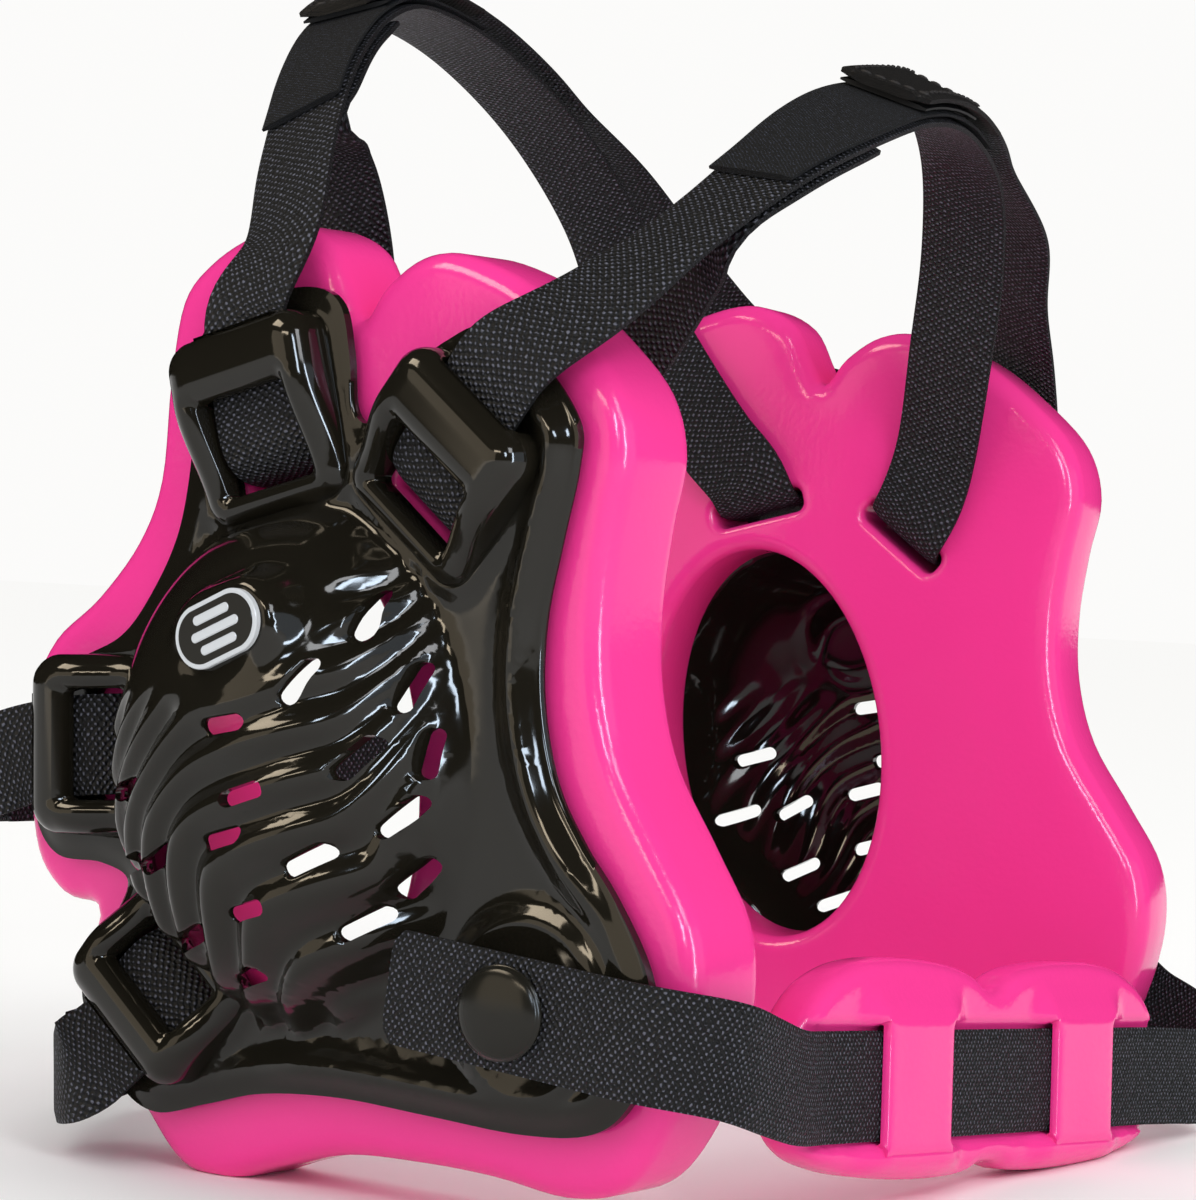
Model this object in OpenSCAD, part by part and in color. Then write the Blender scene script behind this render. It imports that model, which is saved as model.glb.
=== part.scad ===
// Wrestling headgear: two padded ear cups held by two top straps, two back straps and a chin strap.
// Origin: on the table, under the middle of the bounding box. +X is the wearer's left, -Y the face.

/* [Fit] */
// Gap between the ear pads at ear height
head_gap = 141.5; // [140:0.5:143]
// How far each cup turns in towards the back of the head, degrees
toe = 6.5; // [6:0.25:7]
// How far the headgear leans back when it stands on its chin pad, degrees
lean = 3; // [2.5:0.25:3.5]

/* [Ear cups] */
// Thickness of the vinyl-dipped foam pads
pad_t = 20; // [19:0.5:20.5]
// Wall of the moulded ear shells
wall = 2; // [1.6:0.1:2.2]
// How far the ear dome stands above the shell's plate
dome_rise = 24; // [20:0.5:26]
// Length of a vent slot
vent_long = 8; // [6:0.5:9]
// Width of a vent slot
vent_wide = 2.6; // [2:0.1:3]

/* [Straps] */
// Width of the head straps' webbing
web_w = 16; // [14:0.5:16.5]
// Thickness of all webbing
web_t = 1.6; // [1.2:0.1:1.7]
// Thickness of the loop tape
loop_t = 1; // [0.8:0.1:1.1]
// Thickness of the hook tape
hook_t = 0.8; // [0.6:0.1:0.9]
// Width of the chin strap
chin_w = 17; // [15:0.5:17.5]

/* [Chin pad] */
// Length of the two-lobed chin pad
chin_pad_w = 132; // [128:1:134]
// Thickness of the chin pad behind the strap
chin_pad_t = 8; // [6:0.5:9]

/* [Snaps] */
// Radius of the snap caps
cap_r = 7.2; // [6.5:0.1:8]
// Radius of the snap studs' heads
stud_r = 2.6; // [2.2:0.1:2.8]

/* [Hidden] */

pink = "#f0308c";
black = "#1b1a19";
grey = "#3a3836";
steel = "#b8bcc0";
gap = 0.25;                    // clearance between pieces that touch
shell_w = pad_t + gap;         // inner face of the shell's plate
plate_top = shell_w + wall;
run_w = plate_top + 4;         // the webbing's middle plane over the plate
lift_up = 3;                   // sinks the lowest pad edges just far enough to cut them flat
centre_y = -22.3;                // puts the bounding box over the origin

// Ear pad outline in the cup's plane: u towards the back, v up
pad_outline = [
    [20, 152], [29, 151], [38, 147], [44, 141], [47, 128], [49, 112], [54, 102], [63, 93], [73, 86],
    [78, 77], [79, 64], [77, 50], [71, 43], [63, 41], [65, 34], [65, 25], [57, 15], [51, 7], [44, 0],
    [35, -2], [24, 1], [10, 4], [-6, 4], [-20, 3], [-34, 1], [-44, 3], [-51, 10], [-56, 20], [-59, 32],
    [-58, 43], [-52, 54], [-45, 66], [-42, 78], [-42, 90], [-44, 102], [-46.5, 113], [-44, 123],
    [-36, 132], [-26, 140], [-14, 145], [-6, 145], [1, 141], [5.5, 136], [8, 140], [12, 148]
];
// Ear shell outline on the same plane
shell_outline = [
    [12, 141], [24, 140], [33, 137], [36, 129], [37, 116], [40, 103], [46, 93], [53, 86], [64, 81.5],
    [71, 78], [73, 67], [72, 56], [67, 50], [57, 49], [51, 46], [55, 38], [61, 30], [60, 23], [53, 13],
    [45, 9], [34, 11], [22, 13.5], [6, 14], [-12, 12.5], [-30, 11], [-43, 12], [-50, 17], [-54, 26],
    [-53, 36], [-47, 47], [-41, 55], [-36, 64], [-33.5, 76], [-34, 88], [-37, 100], [-40, 111],
    [-40, 118], [-33, 127], [-23, 133], [-14, 130], [-6, 123], [-1, 119], [3, 121], [4, 130], [6, 138]
];
ear_hole = [17.5, 66, 23.5, 38, 6];     // middle u and v, half width, half height, tilt
dome = [14, 66, 34.5, 41];              // middle u and v, half width, half height
badge_at = [11, 87];
badge_w = 45;                           // height of the badge's seat
snap_u = -31.5;
snap_v = 30;

// Strap loops: pad slot u and v, direction from up towards the back, window length, bar length
front_loop = [-11, 106, -41, 10, 10];
rear_loop = [18.5, 112, 12, 13, 9];
upper_loop = [52, 68.5, 90, 7, 6.5];
lower_loop = [38.5, 33.5, 138, 7, 7];
loops = [front_loop, rear_loop, upper_loop, lower_loop];

// Vent slots: middle u and v, and how far each leans forward from upright
vents = [
    [-7, 89, 10], [-1.5, 79, 32], [-13.5, 78, 14], [-16, 68, 8], [-9, 67.5, 37], [10, 72.5, 82],
    [6, 62, 73], [-13, 58.5, 41], [-2, 52, 61], [-13, 49, 45], [-6, 42, 58], [34, 62, 74],
    [26, 51.5, 60], [23, 39, 64], [11, 55, 76], [8.5, 44, 76], [36, 50, 70], [14, 33, 70]
];

// ---- Points and directions on the two cups ----------------------------------------------------
function left(u, v, w) = [
    head_gap/2 - u*sin(toe) + w*cos(toe), u*cos(toe) + w*sin(toe), v
];
function flip(p) = [-p[0], p[1], p[2]];
function right(u, v, w) = flip(left(u, v, w));
function left_dir(u, v) = [-u*sin(toe), u*cos(toe), v];
function right_dir(u, v) = flip(left_dir(u, v));

// ---- Curves -------------------------------------------------------------------------------------
function unit(v) = v/norm(v);
function between(a, b, c, d, t) =
    ((-a + 3*b - 3*c + d)*pow(t, 3) + (2*a - 5*b + 4*c - d)*pow(t, 2) + (c - a)*t + 2*b)/2;
function before(p, i) = i > 0 ? p[i - 1] : 2*p[0] - p[1];
function after(p, i) = i < len(p) - 1 ? p[i + 1] : 2*p[i] - p[i - 1];
function on_curve(p, f) = let (i = min(floor(f), len(p) - 2))
    between(before(p, i), p[i], p[i + 1], after(p, i + 1), f - i);
function curve(p, n) = [for (k = [0 : n*(len(p) - 1)]) on_curve(p, k/n)];
function closed_curve(p, n) = let (m = len(p)) [
    for (i = [0 : m - 1], k = [0 : n - 1])
        between(p[(i + m - 1) % m], p[i], p[(i + 1) % m], p[(i + 2) % m], k/n)
];
function places(s) = [for (k = s) k[0]];
function acrosses(s) = [for (k = s) k[1]];

// A webbing path is a list of [point on its middle plane, direction across the webbing]
function spot(s, f) = [on_curve(places(s), f), on_curve(acrosses(s), f)];
// The stretch of a path between two of its points, raised by h off the webbing's middle
function stretch(s, from, to, n, h) = [for (k = [0 : n])
    let (f = from + (to - from)*k/n, a = spot(s, f - 0.01)[0], b = spot(s, f + 0.01)[0])
    [spot(s, f)[0] + h*unit(cross(b - a, spot(s, f)[1])), spot(s, f)[1]]];

// ---- Webbing paths over the head, from the right cup's loop to the left cup's slot -------------------
front_main = [
    [right(-17.5, 113.5, run_w), right_dir(0.75, 0.66)], [right(-24, 121, run_w), right_dir(0.75, 0.66)],
    [right(-31, 128, run_w + 1), right_dir(0.8, 0.5)], [[-94, -38, 136], [0.3, 0.7, 0.5]],
    [[-82, -47, 147], [0.4, 0.6, 0.3]], [[-65, -54, 159], [0.3, 0.65, 0.3]],
    [[-44, -55, 168], [0.05, 0.8, 0.4]], [[-18, -52, 174], [0, 0.9, 0.4]], [[10, -47, 176], [0, 0.9, 0.5]],
    [[36, -40, 170], [-0.1, 0.9, 0.4]], [[52, -33, 156], [-0.1, 0.9, 0.3]],
    [[60, -27, 140], left_dir(0.9, 0.3)], [left(-19, 121, -3), left_dir(0.8, 0.5)]
];
front_sewn = [
    [[-73, -45, 146], [0.3, 0.6, 0.4]], [[-69, -33, 135], [0.1, 0.7, 0.6]],
    [right(-19, 118, -3), right_dir(0.75, 0.66)]
];
front_outer = [
    [left(-17.5, 113.5, run_w), left_dir(0.75, 0.66)], [left(-23, 121, run_w), left_dir(0.75, 0.66)],
    [left(-27, 129, run_w + 1), left_dir(0.8, 0.6)], [[92, -27, 141], [-0.1, 0.8, 0.5]],
    [[79, -31, 153], [-0.1, 0.8, 0.5]], [[63, -38, 164.5], [-0.1, 0.8, 0.5]]
];
rear_main = [
    [right(20.2, 120, run_w), right_dir(0.98, -0.21)], [right(22, 130, run_w), right_dir(0.98, -0.21)],
    [right(22, 138, run_w + 1), right_dir(0.95, -0.1)], [[-92, 20, 149], [0.25, 1, 0]],
    [[-82, 24, 164], [0.3, 1, 0]], [[-66, 30, 180], [0.3, 1, 0]], [[-44, 38, 192], [0.2, 1, 0]],
    [[-18, 46, 198], [0.1, 1, 0]], [[14, 51, 196], [0, 1, 0]], [[42, 51, 185], [-0.1, 1, 0]],
    [[60, 48, 168], [-0.1, 1, 0]], [[63.5, 42, 150], [-0.2, 1, -0.1]],
    [left(27, 126, -3), left_dir(0.95, -0.3)]
];
rear_sewn = [
    [[-69, 26, 166], [0.2, 1, 0]], [[-66, 24, 150], [0.1, 1, 0]],
    [right(23, 126, -3), right_dir(0.98, -0.21)]
];
rear_outer = [
    [left(20.2, 120, run_w), left_dir(0.98, -0.21)], [left(22, 130, run_w), left_dir(0.98, -0.21)],
    [left(24, 138, run_w + 1), left_dir(0.98, -0.1)], [[90, 37, 150], [-0.1, 1, 0]],
    [[80, 46, 166], [-0.1, 1, 0]], [[66, 51, 180], [-0.1, 1, 0]]
];
down = [0, 0, -1];
upper_main = [
    [right(59, 68.3, run_w), down], [right(66, 67.5, run_w), down], [right(74, 66, run_w + 0.5), down],
    [[-91, 80, 64], down], [[-80, 89, 63], down], [[-56, 99, 62], down], [[-28, 104, 61], down],
    [[0, 105.5, 61], down], [[28, 104, 61], down], [[50, 98, 62], down], [[61, 89, 64], down],
    [left(76, 67.5, -4), down], [left(60, 68.5, -3), down]
];
upper_sewn = [[[-66, 89, 63], down], [right(73, 67, -5), down], [right(60, 68.5, -3), down]];
upper_outer = [
    [left(59, 68.3, run_w), down], [left(66, 67.5, run_w), down], [left(74, 66, run_w + 0.5), down],
    [[91, 80, 64], down], [[84, 91, 63], down], [[68, 100, 62], down]
];
lower_main = [
    [right(44, 27.5, run_w), right_dir(-0.74, -0.67)], [right(49, 22, run_w), right_dir(-0.74, -0.67)],
    [right(55, 17.5, run_w + 1), right_dir(-0.5, -0.85)], [[-95, 59, 15.5], [0, -0.2, -1]],
    [[-86, 69, 14], down], [[-66, 80, 14], down], [[-36, 88, 14], down], [[0, 91, 14], down],
    [[34, 88, 14], down], [[54, 80, 15], down], [[63, 69, 20], left_dir(-0.25, -0.9)],
    [left(55, 27, -4), left_dir(-0.5, -0.8)], [left(45, 31, -3), left_dir(-0.74, -0.67)]
];
lower_sewn = [
    [[-69, 71, 16], down], [right(57, 25, -5), right_dir(-0.4, -0.9)],
    [right(45, 31, -3), right_dir(-0.74, -0.67)]
];
lower_outer = [
    [left(44, 27.5, run_w), left_dir(-0.74, -0.67)], [left(49, 22, run_w), left_dir(-0.74, -0.67)],
    [left(55, 17.5, run_w + 1), left_dir(-0.5, -0.85)], [[95, 59, 15.5], [0, -0.2, -1]],
    [[88, 70, 14], down], [[74, 80.5, 14], down]
];

loop_up = 0.5*web_t + gap + 0.5*loop_t;            // tape layers above the webbing's middle
hook_up = 0.5*web_t + loop_t + 2*gap + 0.5*hook_t;
over = web_t + loop_t + hook_t + 3*gap;            // middle of the top layer
under = web_t + gap;                               // middle of the sewn end's layer

// Webbing through a pad slot, from the cup's inner face out to its loop's window
function through(loop, side) = let (
    c = cos(loop[2]), s = sin(loop[2]),
    rows = [[6, -2.2], [3.2, -2], [1, -0.9], [0, 1.5], [0, pad_t/2], [0, pad_t + 0.5],
            [0.8, run_w - 2.6], [2.8, run_w - 0.7], [5, run_w]]
) [for (r = rows) side > 0
    ? [left(loop[0] + r[0]*s, loop[1] + r[0]*c, r[1]), left_dir(c, -s)]
    : [right(loop[0] + r[0]*s, loop[1] + r[0]*c, r[1]), right_dir(c, -s)]];

// Long piece of webbing: sewn end, right cup, over the head, left cup and back up to the tab's root
function strap_path(main, sewn, outer, loop, sewn_end, root) = concat(
    stretch(main, sewn_end, 4.3, 3, -under), sewn, through(loop, -1), main,
    through(loop, 1), outer, stretch(main, 9, root, 4, over)
);
function tab_path(main, root, tip) = stretch(main, root - 0.015, tip, 6, over);

// ---- Chin strap -----------------------------------------------------------------------------------------
chin_mid = [0, -62, 11.3];
chin_along = unit([1, -0.066, -0.079]);
chin_up = unit([0.075, 0, 1] - ([0.075, 0, 1]*chin_along)*chin_along);
chin_out = cross(chin_along, chin_up);
chin_run = 58;                          // half of the straight run in front of the chin
seat_w = plate_top + 2.5;               // height of the snap boss over the cup's inner face
snap_y = snap_u*cos(toe) + seat_w*sin(toe);
snap_x = head_gap/2 - snap_u*sin(toe) + seat_w*cos(toe);
end_x = snap_x + 5.15;                  // middle plane of the strap's snap ends
right_droop = 9;                        // slope of the right end, degrees
left_droop = 38;                        // slope of the left end, degrees
bend = 20;                              // from a snap to the bend beside its cup
end_tail = 20.5;                        // from a snap to the strap's cut end
function near_bend(side, droop, d, inward) = [
    [side*(end_x - inward), snap_y - d*cos(droop), snap_v - d*sin(droop)], [0, -sin(droop), cos(droop)]
];
function on_run(s) = [chin_mid + s*chin_along, chin_up];
chin_path = [
    near_bend(-1, right_droop, bend + 0.5, 0), near_bend(-1, right_droop, bend + 6, 1.2),
    [[-94, -61.5, 23.5], [0, -0.1, 1]],
    [[-82, -62, 20], [0.05, -0.05, 1]], [[-70, -60.5, 17.2], [0.06, 0, 1]],
    each [for (s = [-chin_run, 6 - chin_run, 0, chin_run - 6, chin_run]) on_run(s)],
    [[70, -67.2, 5.6], [0.06, 0, 1]], [[82, -68, 4.6], [0.05, 0, 1]], [[93, -64.5, 6.8], [0, -0.2, 1]],
    [[100.2, -57, 10.6], [0, -0.45, 0.9]], near_bend(1, left_droop, bend + 6, 1.2),
    near_bend(1, left_droop, bend + 0.5, 0)
];
// Half of the chin pad's outline, along and up from the strap's middle
lobe = [
    [2.5, 15.8], [8, 18], [16, 19.5], [30, 20.3], [43, 19.8], [53, 17.5], [60, 13.5], [65, 7], [66.4, 0],
    [65, -6.5], [59, -11.3], [48, -13.9], [34, -15.2], [20, -15.6], [9, -15.2], [3, -13.8]
];
chin_ring = [
    for (p = lobe) [p[0]*chin_pad_w/132, p[1]],
    for (i = [len(lobe) - 1 : -1 : 0]) [-lobe[i][0]*chin_pad_w/132, lobe[i][1]]
];
bridge = [19, 41];                      // where the pad's front bands cross over the strap
slot_h = chin_w + 2;

// ---- Placing ----------------------------------------------------------------------------------------
module stand() translate([0, centre_y, lift_up]) rotate([-lean, 0, 0]) children();
module on_side(side) mirror([side < 0 ? 1 : 0, 0, 0]) children();
// Cup plane: x towards the back, y up, z out of the ear
module cup(side) stand() on_side(side)
    translate([head_gap/2, 0, 0]) rotate([0, 0, toe]) rotate([90, 0, 90]) children();
// Snap axis: z straight out from the middle of the head, x down, y back
module on_snap(side) stand() on_side(side)
    translate([snap_x, snap_y, snap_v]) rotate([0, 90, 0]) children();
module at_loop(loop) translate([loop[0], loop[1], 0]) rotate(-loop[2]) children();
module above_table() intersection() {
    children();
    translate([-200, -200, 0]) cube([400, 400, 400]);
}

module slab(wide, y0, y1, z0, z1) translate([-wide/2, y0, z0]) cube([wide, y1 - y0, z1 - z0]);
module pill(long, wide, z0, z1) translate([0, 0, z0]) linear_extrude(z1 - z0) {
    square([wide, long - wide], center = true);
    for (e = [-1, 1]) translate([0, e*(long - wide)/2]) circle(d = wide, $fn = 24);
}
module round_slab(wide, y0, y1, z0, z1, r) translate([0, 0, z0]) linear_extrude(z1 - z0) {
    translate([r - wide/2, y0]) square([wide - 2*r, y1 - y0]);
    translate([-wide/2, y0 + r]) square([wide, y1 - y0 - 2*r]);
    for (x = [-1, 1], y = [y0 + r, y1 - r]) translate([x*(wide/2 - r), y]) circle(r, $fn = 24);
}
module oval(a, b, n) polygon([for (i = [0 : n - 1]) [a*cos(360*i/n), b*sin(360*i/n)]]);
module tube(r0, r1, z0, z1) translate([0, 0, z0]) difference() {
    cylinder(r = r1, h = z1 - z0, $fn = 48);
    translate([0, 0, -1]) cylinder(r = r0, h = z1 - z0 + 2, $fn = 48);
}
module disc(r, z0, z1) translate([0, 0, z0]) cylinder(r = r, h = z1 - z0, $fn = 48);

// A flat band swept along a path
module band(path, wide, thick, steps) {
    p = curve(places(path), steps);
    a = curve(acrosses(path), steps);
    n = len(p);
    corners = [[-1, -1], [1, -1], [1, 1], [-1, 1]];
    points = [for (i = [0 : n - 1]) let (
        t = unit(after(p, i) - before(p, i)), side = unit(a[i] - (a[i]*t)*t), out = cross(t, side)
    ) for (c = corners) p[i] + side*c[0]*wide/2 + out*c[1]*thick/2];
    sides = [for (i = [0 : n - 2], k = [0 : 3])
        let (a = 4*i + k, b = 4*i + (k + 1) % 4) each [[a, a + 4, b + 4], [a, b + 4, b]]];
    e = 4*(n - 1);
    ends = [[0, 1, 2], [0, 2, 3], [e, e + 2, e + 1], [e, e + 3, e + 2]];
    stand() polyhedron(points, concat(sides, ends), convexity = 10);
}

// Solid dome: oval rings that close in by a smooth rule as they rise
module bowl(a, b, rise, around, up) {
    rings = [for (k = [-1 : up - 1], i = [0 : around - 1])
        let (s = cos(90*max(k, 0)/up), z = k < 0 ? -0.5 : rise*pow(1 - pow(s, 2.6), 0.62))
        [s*a*cos(360*i/around), s*b*sin(360*i/around), z]];
    n = around*(up + 1);
    skin = [for (k = [0 : up - 1], i = [0 : around - 1])
        let (p = k*around + i, q = k*around + (i + 1) % around)
        each [[p, p + around, q + around], [p, q + around, q]]];
    cap = [for (i = [0 : around - 1]) [n - around + i, n, n - around + (i + 1) % around]];
    base = [[for (i = [0 : around - 1]) i]];
    polyhedron(concat(rings, [[0, 0, rise]]), concat(skin, cap, base), convexity = 4);
}

// ---- Ear cups ------------------------------------------------------------------------------------------
module ear_pad(side) color(pink) difference() {
    above_table() cup(side) difference() {
        linear_extrude(pad_t) polygon(closed_curve(pad_outline, 2));
        translate([ear_hole[0], ear_hole[1], -1]) rotate(-ear_hole[4])
            linear_extrude(pad_t + 2) oval(ear_hole[2], ear_hole[3], 56);
        for (l = loops) at_loop(l) slab(web_w + 2, -2.5, 2.5, -1, pad_t + 1);
    }
    on_snap(side) disc(6.5, -7.6, 20);
}
module right_ear_pad() ear_pad(-1);
module left_ear_pad() ear_pad(1);

module loop_frame(l) at_loop(l) {
    round_slab(web_w + 11, -5, l[3] + l[4] + 2, shell_w, plate_top + 3, 3.5);
    round_slab(web_w + 9, -3, l[3] + l[4] + 1, shell_w, plate_top + 6, 3);
    round_slab(web_w + 8, l[3] - 2, l[3] + l[4], shell_w, plate_top + 8.5, 3);
}
module loop_opening(l) at_loop(l) {
    slab(web_w + 1.6, -2.6, l[3], shell_w - 1, plate_top + 20);
    slab(web_w + 1.6, l[3] - 1, l[3] + l[4] + 8, plate_top, run_w + 2.2);
}
module ear_shell(side) color(black) difference() {
    union() {
        cup(side) difference() {
            union() {
                translate([0, 0, shell_w]) linear_extrude(wall) polygon(closed_curve(shell_outline, 2));
                for (l = loops) loop_frame(l);
                translate([dome[0], dome[1], shell_w]) intersection() {
                    bowl(dome[2], dome[3], dome_rise + wall, 40, 8);
                    slab(200, -200, 200, 0, 100);
                }
                translate([badge_at[0], badge_at[1]]) rotate(70) pill(21, 13, shell_w + 8, badge_w);
            }
            translate([dome[0], dome[1], shell_w]) bowl(dome[2] - wall, dome[3] - wall, dome_rise, 40, 8);
            for (l = loops) loop_opening(l);
            for (v = vents) translate([v[0], v[1], 0]) rotate(v[2])
                pill(vent_long, vent_wide, shell_w - 1, 60);
        }
        on_snap(side) disc(13, -2.6, 0);
    }
    on_snap(side) disc(2.1, -20, 5);
    on_snap(side) disc(6, -20, -3.8);
}
module right_ear_shell() ear_shell(-1);
module left_ear_shell() ear_shell(1);

module badge(side) color(grey) cup(side) translate([badge_at[0], badge_at[1]]) rotate(70) {
    pill(17, 10, badge_w + gap, badge_w + 1);
    difference() {
        pill(17, 10, badge_w + 0.9, badge_w + 1.5);
        pill(15, 8, badge_w, badge_w + 2);
    }
}
module right_badge() badge(-1);
module left_badge() badge(1);

// ---- Snaps ---------------------------------------------------------------------------------------------
module snap_stud(side) color(steel) on_snap(side) {
    disc(3.2, -5.9, -5.1);
    disc(2, -5.9, 3.2);
    disc(5.5, 0.2, 0.95);
    disc(stud_r, 2.3, 3.25);
}
module right_snap_stud() snap_stud(-1);
module left_snap_stud() snap_stud(1);

module right_snap_washer() color(steel) on_snap(-1) tube(2.1, 5, -4.9, -4.1);
module left_snap_washer() color(steel) on_snap(1) tube(2.1, 5, -4.9, -4.1);

module snap_socket(side) color(steel) on_snap(side) {
    tube(3.3, 6.5, 1.2, 3.6);
    disc(6.5, 3.55, 4.1);
}
module right_snap_socket() snap_socket(-1);
module left_snap_socket() snap_socket(1);

module snap_cap(side) color(black) on_snap(side) {
    disc(2, 4.2, 6.4);
    translate([0, 0, 6.2]) rotate_extrude($fn = 64) polygon([
        [0, 0], [cap_r - 0.4, 0], [cap_r, 0.5], [cap_r, 1], [cap_r - 0.8, 1.7], [0.6*cap_r, 2.3], [0, 2.6]
    ]);
}
module right_snap_cap() snap_cap(-1);
module left_snap_cap() snap_cap(1);

// ---- Head straps: webbing, peelable tab, loop tape and hook tape ---------------------------------------
module front_strap() color(black)
    band(strap_path(front_main, front_sewn, front_outer, front_loop, 5.9, 8), web_w, web_t, 3);
module front_strap_tab() color(grey) band(tab_path(front_main, 8, 6.6), web_w, web_t, 2);
module front_loop_tape() color(grey) band(stretch(front_main, 4.7, 8.4, 8, loop_up), web_w - 1, loop_t, 2);
module front_hook_tape() color(grey) band(stretch(front_main, 7.8, 6.65, 5, hook_up), web_w - 1, hook_t, 2);

module rear_strap() color(black)
    band(strap_path(rear_main, rear_sewn, rear_outer, rear_loop, 5.9, 7.3), web_w, web_t, 3);
module rear_strap_tab() color(grey) band(tab_path(rear_main, 7.3, 5.8), web_w, web_t, 2);
module rear_loop_tape() color(grey) band(stretch(rear_main, 4.4, 7.7, 8, loop_up), web_w - 1, loop_t, 2);
module rear_hook_tape() color(grey) band(stretch(rear_main, 7.1, 5.85, 5, hook_up), web_w - 1, hook_t, 2);

module upper_back_strap() color(black)
    band(strap_path(upper_main, upper_sewn, upper_outer, upper_loop, 5.9, 8), web_w, web_t, 3);
module upper_back_tab() color(grey) band(tab_path(upper_main, 8, 6.5), web_w, web_t, 2);
module upper_back_loop_tape() color(grey)
    band(stretch(upper_main, 4.9, 8.4, 8, loop_up), web_w - 1, loop_t, 2);
module upper_back_hook_tape() color(grey)
    band(stretch(upper_main, 7.8, 6.55, 5, hook_up), web_w - 1, hook_t, 2);

module lower_back_strap() color(black)
    band(strap_path(lower_main, lower_sewn, lower_outer, lower_loop, 5.9, 8), web_w, web_t, 3);
module lower_back_tab() color(grey) band(tab_path(lower_main, 8, 6.6), web_w, web_t, 2);
module lower_back_loop_tape() color(grey)
    band(stretch(lower_main, 4.9, 8.4, 8, loop_up), web_w - 1, loop_t, 2);
module lower_back_hook_tape() color(grey)
    band(stretch(lower_main, 7.8, 6.65, 5, hook_up), web_w - 1, hook_t, 2);

// ---- Chin strap and pad ----------------------------------------------------------------------------------
module chin_strap() color(black) band(chin_path, chin_w, web_t, 3);
module chin_end(side, droop) color(black) on_snap(side) rotate(droop) difference() {
    translate([0, 0, 4.35]) linear_extrude(web_t) translate([-chin_w/2, -bend]) square([chin_w, bend + end_tail]);
    disc(2.1, 0, 10);
}
module right_chin_end() chin_end(-1, right_droop);
module left_chin_end() chin_end(1, left_droop);

module on_chin() stand() multmatrix([
    [chin_along[0], chin_up[0], chin_out[0], chin_mid[0]],
    [chin_along[1], chin_up[1], chin_out[1], chin_mid[1]],
    [chin_along[2], chin_up[2], chin_out[2], chin_mid[2]]
]) children();
module chin_pad() color(pink) above_table() on_chin() difference() {
    back = -web_t/2 - 0.3;
    front = web_t/2 + 0.3;
    union() {
        translate([0, 0, back - chin_pad_t]) linear_extrude(chin_pad_t) polygon(closed_curve(chin_ring, 2));
        for (s = [-1, 1]) intersection() {
            translate([0, 0, back - 1]) linear_extrude(front - back + 4.2)
                polygon(closed_curve(chin_ring, 2));
            translate([s*(bridge[0] + bridge[1])/2, 0, 0])
                slab(bridge[1] - bridge[0], -40, 40, back - 1, front + 3.2);
        }
    }
    slab(300, -slot_h/2, slot_h/2, back, front);
}

right_ear_pad();
left_ear_pad();
right_ear_shell();
left_ear_shell();
right_badge();
left_badge();
right_snap_stud();
left_snap_stud();
right_snap_washer();
left_snap_washer();
right_snap_socket();
left_snap_socket();
right_snap_cap();
left_snap_cap();
front_strap();
front_strap_tab();
front_loop_tape();
front_hook_tape();
rear_strap();
rear_strap_tab();
rear_loop_tape();
rear_hook_tape();
upper_back_strap();
upper_back_tab();
upper_back_loop_tape();
upper_back_hook_tape();
lower_back_strap();
lower_back_tab();
lower_back_loop_tape();
lower_back_hook_tape();
chin_strap();
right_chin_end();
left_chin_end();
chin_pad();
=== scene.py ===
"""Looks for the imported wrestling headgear: two padded ear cups, head straps and a chin strap on press studs.

Shapes are worked out in millimetres in the head's upright frame (u towards the back, v up and w out of
the ear on each cup) and set on the table, leaning back, in metres. +X is the wearer's left, -Y the face.
"""

import math

import bmesh
import bpy
import numpy as np
from mathutils import Matrix, Vector
from mathutils.geometry import delaunay_2d_cdt


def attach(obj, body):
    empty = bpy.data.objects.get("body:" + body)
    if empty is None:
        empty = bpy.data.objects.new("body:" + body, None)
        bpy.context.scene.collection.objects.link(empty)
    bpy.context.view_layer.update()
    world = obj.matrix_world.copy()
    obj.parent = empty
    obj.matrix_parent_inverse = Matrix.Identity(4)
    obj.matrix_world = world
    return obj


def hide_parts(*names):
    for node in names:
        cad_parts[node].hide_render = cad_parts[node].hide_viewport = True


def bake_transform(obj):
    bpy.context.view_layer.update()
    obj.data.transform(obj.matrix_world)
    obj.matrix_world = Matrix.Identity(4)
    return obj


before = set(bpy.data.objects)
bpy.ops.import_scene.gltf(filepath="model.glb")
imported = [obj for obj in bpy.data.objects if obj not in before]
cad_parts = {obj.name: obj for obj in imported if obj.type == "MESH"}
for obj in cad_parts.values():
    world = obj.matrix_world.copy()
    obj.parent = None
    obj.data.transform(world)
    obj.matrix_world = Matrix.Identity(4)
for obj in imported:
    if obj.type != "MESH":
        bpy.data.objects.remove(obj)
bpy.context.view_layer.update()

# ---- Sizes, in millimetres, as in the CAD --------------------------------------------------------
HEAD_GAP = 141.5
TOE = math.radians(6.5)
LEAN = math.radians(3)
LIFT = 3.0
CENTRE_Y = -22.3
PAD_T = 20.0
GAP = 0.25
WALL = 2.0
DOME_RISE = 24.0
SHELL_W = PAD_T + GAP
PLATE_TOP = SHELL_W + WALL
RUN_W = PLATE_TOP + 4.0
WEB_W = 16.5  # drawn half a millimetre wider than the CAD's 16
WEB_T = 1.6
LOOP_T = 1.0
HOOK_T = 0.8
CHIN_W = 17.5  # the CAD's is 17
CAP_R = 7.2
SIDES = {"right": -1, "left": 1}

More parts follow.
